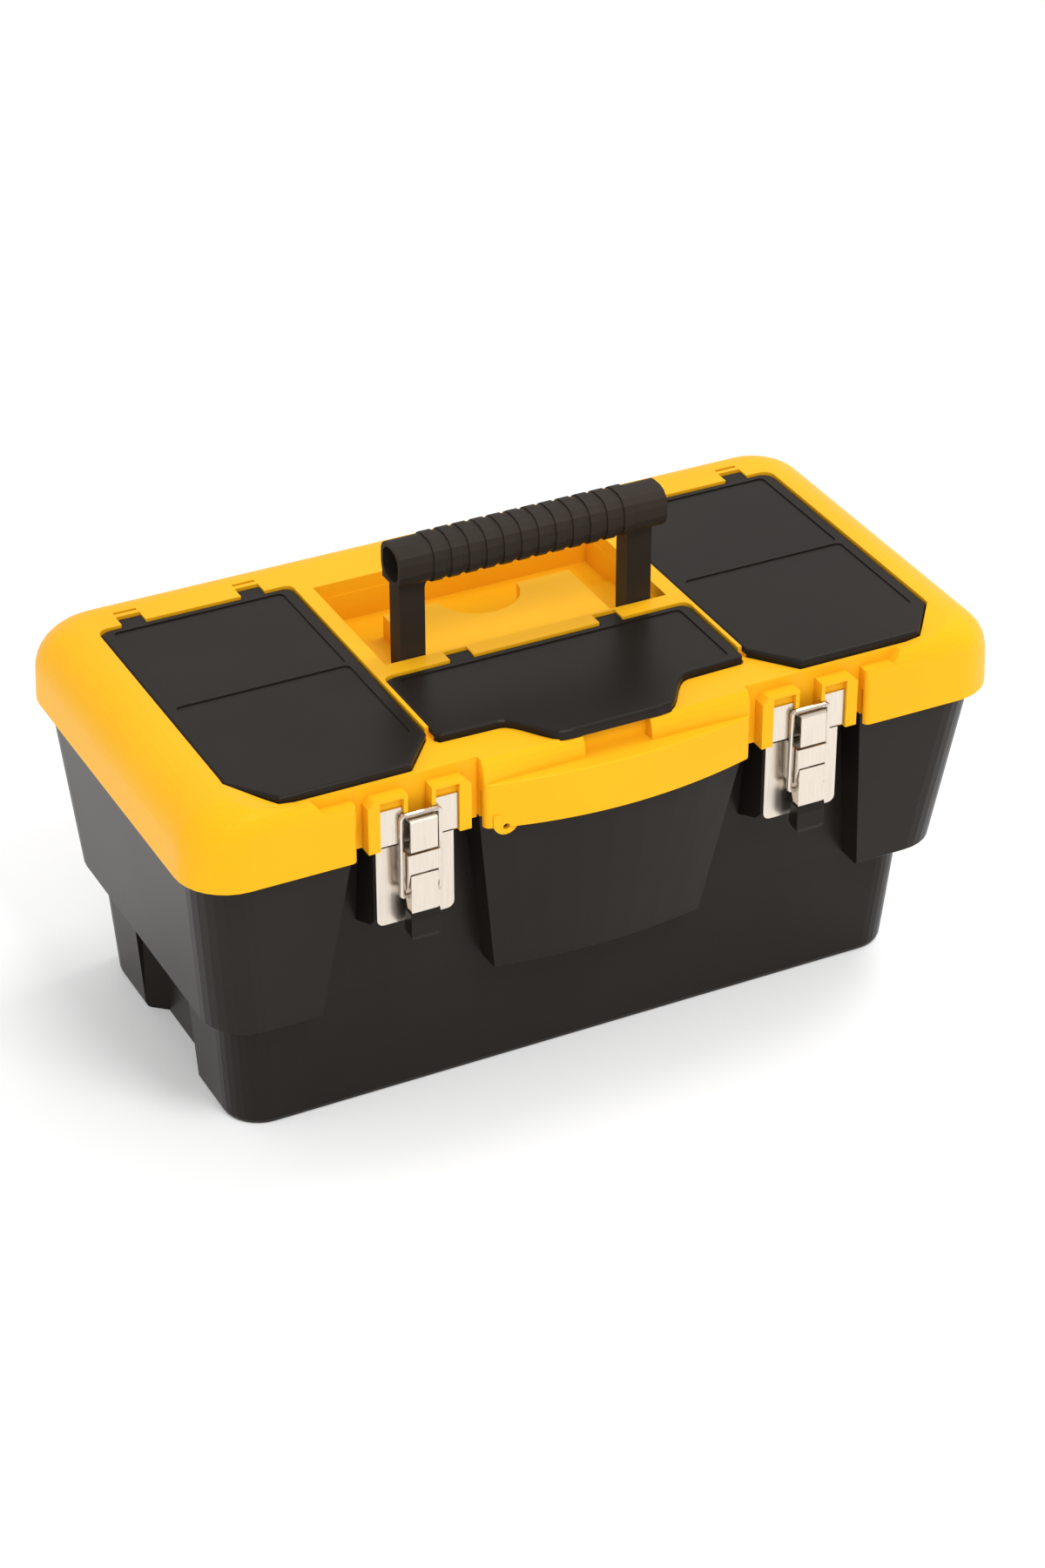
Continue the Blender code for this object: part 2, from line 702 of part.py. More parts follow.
def bay_returns(side, word):
    """Walls that close the lid beside its recess, under the rolled edge."""
    back, front = -keeper_back_wall + bay_return, -lid_front + 2 * mm
    low, high = skirt_top - 4 * mm, lid_top - strip_drop - 1.3 * mm
    outline = [(back, low), (front, low), (front, low + 8 * mm), (front + 2 * mm, low + 14 * mm),
               (front + 5 * mm, high), (back, high)]
    inner, outer = bay_inner_high - touch_gap - 0.1 * mm, bay_outer_high - touch_gap + 0.1 * mm
    ends = ((inner - bay_return, inner, "inner"), (outer, ledge_end + ledge_slope + bay_return, "outer"))
    for near, far, end in ends:
        left, right = sorted((side * near, side * far))
        yield side_prism(end + " return " + word, outline, left, right)
    left, right = sorted((side * (inner - bay_return / 2), side * (outer + bay_return / 2)))
    yield box("bay wall " + word, (left, -keeper_back_wall + 0.05 * mm, tub_rim + touch_gap + 0.1 * mm),
              (right, back - 0.1 * mm, high - 0.2 * mm))


def keeper_block_outline(centre):
    """Front view of the block that frames both keeper tabs."""
    half, turn = keeper_block_half, keeper_block_chamfer
    points = [(-half, keeper_block_bottom), (half, keeper_block_bottom), (half, keeper_block_top - turn)]
    points += [(half - turn, keeper_block_top), (turn - half, keeper_block_top),
               (-half, keeper_block_top - turn)]
    return [(centre + x, z) for x, z in points]


def keeper_spaces(centre, word):
    """Cutters for the two tab pockets, the gap between the frames and the slot under the tabs."""
    far, low = -lid_front - 9 * mm, lid_bottom - 10 * mm
    deep = -keeper_front + plate_thick + touch_gap
    half = plate_width / 2 + touch_gap
    yield box("keeper middle " + word, (centre - tab_inner - 0.2 * mm, far, low),
              (centre + tab_inner + 0.2 * mm, deep, frame_inner_low))
    yield box("frame gap " + word, (centre - notch_half, far, low),
              (centre + notch_half, -keeper_back_wall - 0.05 * mm, lid_top + 4 * mm))
    yield box("tab slot " + word, (centre - half + 2.2 * mm, far, low),
              (centre + half - 2.2 * mm, -keeper_back_wall - 0.15 * mm, keeper_bottom))
    for place in (-1, 1):
        inner, outer = sorted((centre + place * (tab_inner - touch_gap), centre + place * half))
        yield box("tab pocket " + word + str(place), (inner, far, low - 1 * mm),
                  (outer, deep, keeper_top + keeper_hood))


well_parts = ("shelf", "trough", "left channel", "right channel", "scoop")


def make_lid():
    turns = [lid_top - (lid_top - side_roll[1]) * (1 - sin(radians(a))) for a in range(0, 91, 9)]
    lid = loft("lid_shell", [lid_ring(z) for z in [lid_bottom] + turns], yellow_plastic)
    join(lid, make_band())

    lip_levels = (lid_bottom - 9 * mm, tub_rim + touch_gap + 0.2 * mm)
    lip_space = loft("lip space", [body_ring(lid_half_length - lid_wall, lid_front - lid_wall,
                                             lid_back - lid_wall, lid_corner - lid_wall, z,
                                             band_bow - 0.3 * mm, bay_inner_high) for z in lip_levels])
    roof = lid_top - lid_wall
    inner_levels = (tub_rim - 1 * mm, 203 * mm, 210 * mm, 216 * mm, 221 * mm, 225 * mm, roof)
    inside = loft("lid inside", [lid_ring(z, lid_wall, lid_wall * 0.8) for z in inner_levels])
    cut(inside, prism("left bin shell", bin_outline(-1, bin_wall), bin_floor - bin_wall, lid_top + 5 * mm),
        prism("right bin shell", bin_outline(1, bin_wall), bin_floor - bin_wall, lid_top + 5 * mm),
        prism("centre bin shell", centre_bin_outline(bin_wall), bin_floor - bin_wall, lid_top + 5 * mm))
    for part in well_parts:
        cut(inside, well_shape(part + " shell", part, well_wall))
    for name, x, y in tab_places():
        half = tab_width / 2 + 4.5 * mm
        cut(inside, box(name + " boss", (x - half, y - tab_reach - 6 * mm, tab_z - 7 * mm),
                        (x + half, y + 5 * mm, lid_top + 5 * mm)))
    for side, word in ((-1, "left"), (1, "right")):
        low, high = sorted((side * (channel_outer + 1 * mm), side * (channel_outer + 6.5 * mm)))
        cut(inside, box("pivot boss " + word, (low, handle_pivot_y - 7 * mm, handle_pivot_z - 7 * mm),
                        (high, handle_pivot_y + 7 * mm, lid_top + 5 * mm)))
    cut(inside, strip("strip shell", lid_wall))
    cut(inside, box("finger shell", (-finger_half - lid_wall, -lid_front - 9 * mm, finger_floor - lid_wall),
                    (finger_half + lid_wall, -finger_deep + lid_wall, lid_top + 9 * mm)))
    cut(lid, inside, lip_space)

    rise = skirt_top - tub_rim - touch_gap
    skirt = loft("skirt", [[(x, y, z + lift) for x, y, z in upper_ring(tub_rim)] for lift in (0, rise)])
    skirt.location.z = touch_gap
    cut(skirt, bay("skirt bay left", -1), bay("skirt bay right", 1))
    skirt_space = loft("skirt space", [[(x, y, z + lift) for x, y, z in upper_ring(tub_rim, tub_wall)]
                                       for lift in (-5 * mm, 40 * mm)])
    cut(skirt_space, bay("skirt wall left", -1, tub_wall), bay("skirt wall right", 1, tub_wall))
    cut(skirt, skirt_space)
    join(lid, skirt)

    for side, word in ((-1, "left"), (1, "right")):
        cut(lid, prism("bay front " + word, bay_front_outline(side), lid_bottom - 10 * mm, lid_top + 5 * mm))
        low, high = sorted((side * (bay_inner_high + 0.2 * mm), side * (bay_outer_high - 0.8 * mm)))
        join(lid, box("bay back " + word, (low, -keeper_back_wall - 0.1 * mm, keeper_block_bottom + 0.3 * mm),
                      (high, -side_front + bin_ledge, keeper_block_top + 4 * mm)))
        join(lid, *bay_returns(side, word))
        ledge = [(bay_outer_high - 2 * mm, ledge_height), (ledge_end, ledge_height),
                 (ledge_end + ledge_slope, lid_top - 3 * mm), (ledge_end + ledge_slope, lid_top + 4 * mm),
                 (bay_outer_high - 2 * mm, lid_top + 4 * mm)]
        cut(lid, front_prism("ledge " + word, [(side * u, v) for u, v in ledge], -lid_front - 9 * mm,
                             -keeper_back_wall + 0.1 * mm))
        centre = side * latch_x
        join(lid, front_prism("keeper block " + word, keeper_block_outline(centre), -keeper_block_front,
                              -keeper_back_wall + 1 * mm))
        cut(lid, *keeper_spaces(centre, word))

    cut(lid, prism("left bin", bin_outline(-1), bin_floor, lid_top + 6 * mm),
        prism("right bin", bin_outline(1), bin_floor, lid_top + 6 * mm),
        prism("centre bin", centre_bin_outline(), bin_floor, lid_top + 6 * mm))
    rebate = cover_top - cover_thick - touch_gap
    cut(lid, prism("left rebate", side_cover_outline(-1, cover_gap), rebate, lid_top + 7 * mm),
        prism("right rebate", side_cover_outline(1, cover_gap), rebate, lid_top + 7 * mm),
        prism("centre rebate", centre_cover_outline(cover_gap), rebate, lid_top + 7 * mm))
    front_strip = strip("front strip")
    for word, outline, line in cover_outlines():
        cut(front_strip, prism(word + " strip edge", outline(cover_gap / 2), lid_bottom, lid_top + 20 * mm))
    cut(lid, front_strip)
    for word, outline, line in cover_outlines():
        cut(lid, cover_lip(word + " lip groove", outline, line, cover_gap - 0.1 * mm))
    cut(lid, box("finger notch", (-finger_half, -lid_front - 9 * mm, finger_floor),
                 (finger_half, -finger_deep, lid_top)))
    cut(lid, rod("eye bore", (eye_x, -lid_front, eye_z), eye_hole, 20 * mm, sides=12, axis="Y"))
    for part in well_parts:
        cut(lid, well_shape(part, part))

    for name, x, y in tab_places():
        half = tab_width / 2 + tab_gap
        cut(lid, box(name + " notch", (x - half, y - tab_reach - 3 * mm, tab_z - tab_radius - 2.5 * mm),
                     (x + half, y + tab_radius + 1 * mm, lid_top + 5 * mm)))
        cut(lid, rod(name + " hole", (x, y, tab_z), stub_radius + pin_clearance,
                     tab_width + 2 * stub_length + 1 * mm, sides=8))
        cut(lid, box(name + " slit", (x - tab_width / 2, y + slot_back - slot_width, lid_top - slot_deep),
                     (x + tab_width / 2, y + slot_back, lid_top + 5 * mm)))

    for side, word in ((-1, "left"), (1, "right")):
        cut(lid, rod("handle hole " + word, (side * (channel_outer + 2 * mm), handle_pivot_y, handle_pivot_z),
                     handle_pin_radius + pin_clearance, 8 * mm))
        lug = hinge_lug("lid lug " + word, side * hinge_x, 2 * hinge_lug_half, hinge_y, 0)
        half = hinge_lug_half - 0.2 * mm
        neck = box("lid neck " + word, (side * hinge_x - half, lid_back - lid_wall / 2, hinge_z + 1 * mm),
                   (side * hinge_x + half, hinge_y + hinge_radius - 0.4 * mm, lid_bottom + 8 * mm))
        join(lid, neck, lug)
        cut(lid, rod("lid hinge hole " + word, (side * hinge_x, hinge_y, hinge_z),
                     hinge_pin_radius + pin_clearance, 60 * mm))
    return lid


# ---- covers ------------------------------------------------------------------
def cover_panels(word):
    """Left, right, front and back of each sunken panel in a cover."""
    if word == "centre":
        edge = centre_half - panel_side
        return [(-edge, edge, centre_panel_front, centre_back - panel_back)]
    side = -1 if word == "left" else 1
    left, right = sorted((side * (side_inner + panel_side), side * (side_outer - panel_side)))
    return [(left, right, panel_ridge_y + panel_ridge / 2, side_back - panel_back),
            (left, right, -side_chamfer_y + panel_front, panel_ridge_y - panel_ridge / 2)]


def panel_outline(left, right, front, back):
    turn = panel_corner
    points = arc(left + turn, front + turn, turn, 180, 270, 3)
    points += arc(right - turn, front + turn, turn, 270, 360, 3)
    points += arc(right - turn, back - turn, turn, 0, 90, 3)
    return points + arc(left + turn, back - turn, turn, 90, 180, 3)


def make_cover(word, outline, line, tabs, hinge_line):
    """A cover with a rounded top edge, a front lip, sunken panels and two hinge tabs."""
    levels = [(0, cover_thick)]
    levels += [(cover_round * (1 - cos(radians(a))), cover_round * (1 - sin(radians(a))))
               for a in (0, 30, 60, 90)]
    name = "cover_" + word
    cover = loft(name, [[(x, y, cover_top - drop) for x, y in outline(-inset)] for inset, drop in levels],
                 black_plastic)
    pieces = [cover_lip(name + " lip", outline, line)]
    for i, x in enumerate(tabs):
        half = tab_width / 2
        pieces.append(box(name + " arm" + str(i),
                          (x - half, hinge_line - tab_reach - 2.6 * mm, tab_z - tab_radius + 0.1 * mm),
                          (x + half, hinge_line, cover_top - 0.1 * mm)))
        pieces.append(rod(name + " barrel" + str(i), (x, hinge_line, tab_z), tab_radius, tab_width, sides=12))
        pieces.append(rod(name + " stub" + str(i), (x, hinge_line, tab_z), stub_radius,
                          tab_width + 2 * stub_length, sides=8))
    join(cover, *pieces)
    panels = [prism(name + " panel" + str(i), panel_outline(*edges), cover_top - panel_deep, lid_top + 5 * mm)
              for i, edges in enumerate(cover_panels(word))]
    cut(cover, *panels)
    axis = Vector((0, hinge_line, tab_z))
    set_origin(cover, axis)
    for piece in pieces + panels:
        piece.parent = cover
        piece.location = -axis
    return cover


# ---- handle ---------------------------------------------------------------------
def grip_outline(inset=0.0):
    """Rounded section of the grip, in Y and Z."""
    front, back, low, high = -grip_front + inset, grip_back - inset, grip_bottom + inset, grip_top - inset
    corner = grip_round - inset * 0.6
    points = arc(front + corner, low + corner, corner, 180, 270, 3)
    points += arc(back - corner, low + corner, corner, 270, 360, 3)
    points += arc(back - corner, high - corner, corner, 0, 90, 4)
    points += arc(front + corner, high - corner, corner, 90, 180, 3)
    return [(y + handle_pivot_y, z + handle_pivot_z) for y, z in points]


def make_handle():
    grip = side_prism("handle", grip_outline(), -handle_half, handle_half, black_plastic)
    for i in range(rib_count):
        x = (i - (rib_count - 1) / 2) * rib_pitch
        join(grip, side_prism("rib " + str(i), grip_outline(-rib_height),
                              x - rib_width / 2, x + rib_width / 2))
    for side, word in ((-1, "left"), (1, "right")):
        outer = side * (handle_half - leg_inset)
        inner = outer - side * leg_width
        profile = arc(-0.3 * mm, 0, leg_foot, 180, 360, 8)
        profile += [(leg_back, leg_foot + 4 * mm), (leg_back, grip_bottom + 4 * mm),
                    (-leg_front, grip_bottom + 4 * mm), (-leg_front, leg_foot + 4 * mm)]
        leg = side_prism("leg " + word, [(y + handle_pivot_y, z + handle_pivot_z) for y, z in profile],
                         min(outer, inner), max(outer, inner))
        join(grip, leg)
        root = grip_round / 2
        for edge, way, zone in ((inner, side, grip_fillet), (outer, -side, leg_inset)):
            corner = [(0.8 * mm, root), (-zone, root)] + arc(-zone, -zone, zone, 90, 0, 4)
            corner.append((0.8 * mm, -zone))
            corner = [(edge + way * u, handle_pivot_z + grip_bottom + v) for u, v in corner]
            join(grip, front_prism("fillet " + word, corner, handle_pivot_y - leg_front + 0.1 * mm,
                                   handle_pivot_y + leg_back - 0.1 * mm))
        cut(grip, rod("leg hole " + word, (outer, handle_pivot_y, handle_pivot_z),
                      handle_pin_radius + pin_clearance, 18 * mm))
        deep, out = side * (handle_half - grip_hollow), side * (handle_half + 1 * mm)
        cut(grip, side_prism("grip end " + word, grip_outline(grip_wall), min(deep, out), max(deep, out)))
    set_origin(grip, (0, handle_pivot_y, handle_pivot_z))
    return grip


def make_handle_pins():
    for side, word in ((-1, "left"), (1, "right")):
        middle = side * (channel_outer + 4.5 * mm - handle_pin_length / 2)
        rod("handle_pin_" + word, (middle, handle_pivot_y, handle_pivot_z), handle_pin_radius,
            handle_pin_length, black_plastic)


# ---- latches --------------------------------------------------------------------
def make_latch(side, word):
    x = side * latch_x
    back = -plate_front + plate_thick
    half, turn = plate_width / 2, plate_corner
    sheet = arc(x - half + turn, plate_bottom + turn, turn, 180, 270, 4)
    sheet += arc(x + half - turn, plate_bottom + turn, turn, 270, 360, 4)
    sheet += [(x + half, plate_top), (x - half, plate_top)]
    plate = front_prism("latch_plate_" + word, sheet, -plate_front, back, nickel_steel)
    ear_inner = lever_half_width + ear_gap
    front = -(pivot_y + lever_front)
    for place in (-1, 1):
        low, high = sorted((x + place * ear_inner, x + place * (ear_inner + ear_thick)))
        outline = [(-plate_front + 0.4 * mm, pivot_z - 6 * mm), (-plate_front + 0.4 * mm, housing_top),
                   (front, housing_top), (front, housing_bottom),
                   (front + 2.5 * mm, pivot_z - 4 * mm), (front + 5 * mm, pivot_z - 6 * mm)]
        join(plate, side_prism("plate ear " + word + str(place), outline, low, high))
    join(plate, box("plate bridge " + word,
                    (x - ear_inner - 0.5 * mm, front + 0.1 * mm, housing_bottom + 0.1 * mm),
                    (x + ear_inner + 0.5 * mm, front + ear_thick, housing_top - 0.1 * mm)))
    pin_hole = latch_pin_radius + pin_clearance
    cut(plate, rod("plate hole " + word, (x, -pivot_y, pivot_z), pin_hole, 40 * mm, sides=12))

    lever = box("lever_" + word, (x - lever_half_width, front, pivot_z - lever_down),
                (x + lever_half_width, front + plate_thick, pivot_z + lever_up), nickel_steel)
    for place in (-1, 1):
        low, high = sorted((x + place * lever_half_width, x + place * (lever_half_width - plate_thick)))
        outline = [(front + 0.3 * mm, pivot_z - lever_down), (front + 5 * mm, pivot_z - lever_down),
                   (front + lever_flange, pivot_z - eye_drop - 3 * mm),
                   (front + lever_flange, pivot_z + 1.5 * mm),
                   (front + 5.5 * mm, pivot_z + lever_up - 0.6 * mm),
                   (front + 0.3 * mm, pivot_z + lever_up - 0.1 * mm)]
        join(lever, side_prism("lever side " + word + str(place), outline, low, high))
    tongue_half = lever_half_width - 2.5 * mm
    join(lever, box("lever tongue " + word,
                    (x - tongue_half, front + 0.1 * mm, pivot_z - lever_down - lever_tongue),
                    (x + tongue_half, front + plate_thick - 0.1 * mm, pivot_z - lever_down + 1 * mm)))
    cut(lever, rod("lever hole " + word, (x, -pivot_y, pivot_z), pin_hole, 30 * mm, sides=12))
    cut(lever, rod("lever eye " + word, (x, -pivot_y, pivot_z - eye_drop),
                   wire_radius + pin_clearance, 30 * mm, sides=12))
    set_origin(lever, (x, -pivot_y, pivot_z))

    tip_top = pivot_z - lever_down - touch_gap
    tip_face = front - 1.2 * mm
    outline = [(tip_face + 1 * mm, tip_top), (tip_face, tip_top - 4 * mm),
               (tip_face, tip_top - tip_length + 5 * mm)]
    outline += arc(tip_face + 4 * mm, tip_top - tip_length + 4 * mm, 4 * mm, 180, 300, 4)
    outline += [(tip_face + tip_thick, tip_top - tip_length + 6 * mm),
                (tip_face + tip_thick - 2 * mm, tip_top)]
    tip = side_prism("lever_tip_" + word, outline, x - tip_half_width, x + tip_half_width, black_plastic)
    slot_half = tongue_half + 0.3 * mm
    cut(tip, box("tip slot " + word,
                 (x - slot_half, front - 0.1 * mm, tip_top - lever_tongue - 0.3 * mm),
                 (x + slot_half, front + plate_thick + 0.1 * mm, tip_top + 2 * mm)))

    for place in (-1, 1):
        edge, foot = place * tip_half_width, tip_top - tip_length
        outline = arc(edge - place * tip_corner, foot + tip_corner, tip_corner, 270, 270 + place * 90, 4)
        outline += [(edge + place * mm, foot + tip_corner), (edge + place * mm, foot - mm),
                    (edge - place * tip_corner, foot - mm)]
        cut(tip, front_prism("tip corner " + word + str(place), [(x + u, v) for u, v in outline],
                             tip_face - mm, tip_face + tip_thick + mm))

    rod("latch_pin_" + word, (x, -pivot_y, pivot_z), latch_pin_radius,
        2 * (ear_inner + ear_thick) + 0.4 * mm, nickel_steel, sides=12)
    make_wire(x, word)

    half = plate_width / 2
    sheet = [(-half, keeper_bottom), (half, keeper_bottom), (half, keeper_top), (tab_inner, keeper_top),
             (tab_inner, keeper_middle), (-tab_inner, keeper_middle), (-tab_inner, keeper_top),
             (-half, keeper_top)]
    keeper = front_prism("keeper_" + word, [(x + u, v) for u, v in sheet], -keeper_front,
                         -keeper_front + plate_thick, nickel_steel)
    root, face = -keeper_front + 0.4 * mm, -hook_front
    hook = [(root, hook_top), (face + 0.8 * mm, hook_top), (face, hook_top - 0.8 * mm),
            (face, hook_bottom), (face + plate_thick, hook_bottom),
            (face + plate_thick, hook_top - plate_thick), (root, hook_top - plate_thick)]
    join(keeper, side_prism("hook " + word, hook, x - hook_half_width, x + hook_half_width))


def make_wire(x, word):
    """The wire bail: an upright loop with both ends turned in through the lever."""
    eye = Vector((0, -pivot_y, pivot_z - eye_drop))
    lean = -wire_front - eye.y
    height = wire_top - eye.z
    inner = lever_half_width - 1.5 * mm
    corner = 2.2 * mm
    flat = [(-inner, 0)]
    flat += arc(-wire_half_width + corner, corner, corner, 270, 180, 3)
    flat += arc(-wire_half_width + corner, height - corner, corner, 180, 90, 3)
    flat += [(-u, v) for u, v in reversed(flat)]
    curve = bpy.data.curves.new("bail_" + word, "CURVE")
    curve.dimensions = "3D"
    curve.bevel_depth = wire_radius
    curve.bevel_resolution = 2
    curve.use_fill_caps = True
    path = curve.splines.new("POLY")
    path.points.add(len(flat) - 1)
    for point, (u, v) in zip(path.points, flat):
        point.co = (u, lean * v / height, v, 1)
    curve.materials.append(nickel_steel)
    bail = bpy.data.objects.new("bail_" + word, curve)
    parts.objects.link(bail)
    bail.location = (x, eye.y, eye.z)


# ---- tray ----------------------------------------------------------------------
def tray_ring(z, inset=0.0):
    half, corner = tray_half_length - inset, tray_corner - inset
    front, back = tray_front - inset, tray_back - inset
    points = arc(half - corner, -front + corner, corner, -90, 0, 3)
    points += arc(half - corner, back - corner, corner, 0, 90, 3)
    points += arc(-half + corner, back - corner, corner, 90, 180, 3)
    points += arc(-half + corner, -front + corner, corner, 180, 270, 3)
    return [(x, y, z) for x, y in points]


def make_tray():
    tray = loft("tray", [tray_ring(tray_bottom), tray_ring(tray_top)], grey_plastic)
    cut(tray, loft("tray space", [tray_ring(tray_bottom + tray_wall, tray_wall),
                                  tray_ring(tray_top + 5 * mm, tray_wall)]))
    reach = tray_half_length - tray_wall / 2
    low, high = tray_bottom + tray_wall / 2, tray_top - 8 * mm
    wall_front, wall_back = tray_wall_y - tray_wall_thick / 2, tray_wall_y + tray_wall_thick / 2
    outline = [(-reach, low), (reach, low), (reach, high), (tray_handle_half + 12 * mm, high)]
    outline += [(tray_handle_half, tray_handle_top), (-tray_handle_half, tray_handle_top),
                (-tray_handle_half - 12 * mm, high), (-reach, high)]
    wall = loft("tray wall", [[(x, y, z) for x, z in outline] for y in (wall_front, wall_back)])
    join(tray, wall)
    for i, x in enumerate(tray_divider_x):
        join(tray, box("divider " + str(i), (x - tray_wall / 2, -tray_front + tray_wall / 2, low),
                       (x + tray_wall / 2, wall_front + 1 * mm, high - 4 * mm)))
    cut(tray, box("finger slot", (-tray_finger_half, wall_front - 3 * mm, tray_finger_low),
                  (tray_finger_half, wall_back + 3 * mm, tray_finger_high)))
    return tray


# ---- build ----------------------------------------------------------------------
make_tub()
make_lid()
cover_tabs = {"left": [-x for x in side_tab_x], "right": side_tab_x, "centre": centre_tab_x}
for word, outline, line in cover_outlines():
    back = centre_back if word == "centre" else side_back
    make_cover(word, outline, line, cover_tabs[word], back + tab_reach)
make_handle()
make_handle_pins()
make_latch(-1, "left")
make_latch(1, "right")
make_tray()
for side, word in ((-1, "left"), (1, "right")):
    rod("hinge_pin_" + word, (side * hinge_x, hinge_y, hinge_z), hinge_pin_radius,
        2 * (hinge_lug_half + hinge_gap + hinge_ear_thick), nickel_steel, sides=12)

add_booleans()
for thing in list(parts.objects) + list(cutters.objects):
    if thing.parent is None:
        thing.location.y += depth_shift
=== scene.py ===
import bpy
import bmesh
import json
from math import radians
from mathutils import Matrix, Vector

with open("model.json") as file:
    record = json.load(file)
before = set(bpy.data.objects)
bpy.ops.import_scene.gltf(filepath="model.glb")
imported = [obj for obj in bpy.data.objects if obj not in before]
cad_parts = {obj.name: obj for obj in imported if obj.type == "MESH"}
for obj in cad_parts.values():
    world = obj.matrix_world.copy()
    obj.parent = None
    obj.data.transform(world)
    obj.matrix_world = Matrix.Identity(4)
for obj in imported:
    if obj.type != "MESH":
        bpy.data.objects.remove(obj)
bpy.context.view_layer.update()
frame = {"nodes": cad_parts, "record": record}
scene = bpy.context.scene
mm = 0.001
print("frame loaded")

camera = {
    "place": (-0.8391, -1.6769, 1.2919),
    "looking": (0.3817, 0.7576, -0.5296),
    "lens": 89.8,
    "sensor": 36,
    "near": 0.05,
    "far": 50,
}


def makeCamera():
    data = bpy.data.cameras.new("camera")
    data.lens = camera["lens"]
    data.sensor_width = camera["sensor"]
    data.clip_start = camera["near"]
    data.clip_end = camera["far"]
    view = bpy.data.objects.new("camera", data)
    scene.collection.objects.link(view)
    view.location = camera["place"]
    view.rotation_euler = Vector(camera["looking"]).to_track_quat("-Z", "Y").to_euler()
    scene.camera = view


makeCamera()

# a white paper floor, a white room and three soft lamps
studio = {
    "floorSize": 14,
    "floorColor": (0.9, 0.9, 0.9),
    "floorRough": 0.9,
    "floorGlow": 0.15,  # keeps the shadows pale
    "roomColor": (1, 1, 1),
    "roomPower": 0.8,
    "lamps": {
        "key lamp": {"place": (1.3, 0.3, 2.5), "size": 0.9, "power": 20},
        "front lamp": {"place": (0.1, -1.7, 2.45), "size": 0.8, "power": 32},
        "left lamp": {"place": (-2.2, 0.1, 0.9), "size": 1.2, "power": 5},
    },
    "aim": (0, 0, 0.12),
}


def makeLamp(name, look):
    data = bpy.data.lights.new(name, "AREA")
    data.energy = look["power"]
    data.size = look["size"]
    lamp = bpy.data.objects.new(name, data)
    scene.collection.objects.link(lamp)
    lamp.location = look["place"]
    aim = Vector(studio["aim"]) - lamp.location
    lamp.rotation_euler = aim.to_track_quat("-Z", "Y").to_euler()


def makeStudio():
    mesh = bpy.data.meshes.new("floor")
    work = bmesh.new()
    bmesh.ops.create_grid(work, x_segments=1, y_segments=1, size=studio["floorSize"] / 2)
    work.to_mesh(mesh)
    work.free()
    floor = bpy.data.objects.new("floor", mesh)
    scene.collection.objects.link(floor)
    paper = bpy.data.materials.new("floor paper")
    paper.use_nodes = True
    shader = paper.node_tree.nodes["Principled BSDF"]
    shader.inputs["Base Color"].default_value = (*studio["floorColor"], 1)
    shader.inputs["Roughness"].default_value = studio["floorRough"]
    shader.inputs["Emission Color"].default_value = (1, 1, 1, 1)
    shader.inputs["Emission Strength"].default_value = studio["floorGlow"]
    mesh.materials.append(paper)
    world = bpy.data.worlds.new("studio")
    world.use_nodes = True
    room = world.node_tree.nodes["Background"]
    room.inputs["Color"].default_value = (*studio["roomColor"], 1)
    room.inputs["Strength"].default_value = studio["roomPower"]
    scene.world = world
    for name, look in studio["lamps"].items():
        makeLamp(name, look)
    scene.view_settings.view_transform = "Standard"


makeStudio()
print("studio made")

# moulded plastic: a slow tint drift, a fine pebble and slightly duller and shinier patches
drift = {"scale": 8, "detail": 6, "from": 0.35, "to": 0.62}
pebble = {"detail": 3, "height": 0.0002}
yellow = {
    "color": (0.90, 0.45, 0.012),
    "deep": (0.86, 0.42, 0.010),
    "rough": (0.34, 0.44),
    "pebble": 1400,
    "bump": 0.10,
    "gloss": 0.15,
    "shine": (1.0, 0.75, 0.3),
}
black = {
    "color": (0.016, 0.0125, 0.010),
    "deep": (0.0125, 0.010, 0.008),
    "rough": (0.28, 0.36),
    "pebble": 1200,
    "bump": 0.14,
    "gloss": 0.12,
    "shine": (1.0, 0.95, 0.9),
}
gripBlack = {
    "color": (0.027, 0.020, 0.015),
    "deep": (0.020, 0.015, 0.011),
    "rough": (0.5, 0.6),
    "pebble": 900,
    "bump": 0.2,
    "gloss": 0.16,
    "shine": (1.0, 0.95, 0.9),
}
trayGrey = {
    "color": (0.03, 0.03, 0.03),
    "deep": (0.022, 0.022, 0.022),
    "rough": (0.45, 0.55),
    "pebble": 1000,
    "bump": 0.15,
    "gloss": 0.3,
    "shine": (1, 1, 1),
}


def makeNoise(nodes, scale, detail):
    noise = nodes.new("ShaderNodeTexNoise")
    noise.inputs["Scale"].default_value = scale
    noise.inputs["Detail"].default_value = detail
    return noise


def tintAndRoughen(nodes, links, noise, look, low, high):
    shader = nodes["Principled BSDF"]
    tint = nodes.new("ShaderNodeValToRGB")
    tint.color_ramp.elements[0].position = low
    tint.color_ramp.elements[0].color = (*look["deep"], 1)
    tint.color_ramp.elements[1].position = high
    tint.color_ramp.elements[1].color = (*look["color"], 1)
    links.new(noise.outputs["Fac"], tint.inputs["Fac"])
    links.new(tint.outputs["Color"], shader.inputs["Base Color"])
    rough = nodes.new("ShaderNodeMapRange")
    rough.inputs["To Min"].default_value, rough.inputs["To Max"].default_value = look["rough"]
    links.new(noise.outputs["Fac"], rough.inputs["Value"])
    links.new(rough.outputs["Result"], shader.inputs["Roughness"])


def dent(nodes, links, noise, strength, height):
    bump = nodes.new("ShaderNodeBump")
    bump.inputs["Strength"].default_value = strength
    bump.inputs["Distance"].default_value = height
    links.new(noise.outputs["Fac"], bump.inputs["Height"])
    links.new(bump.outputs["Normal"], nodes["Principled BSDF"].inputs["Normal"])


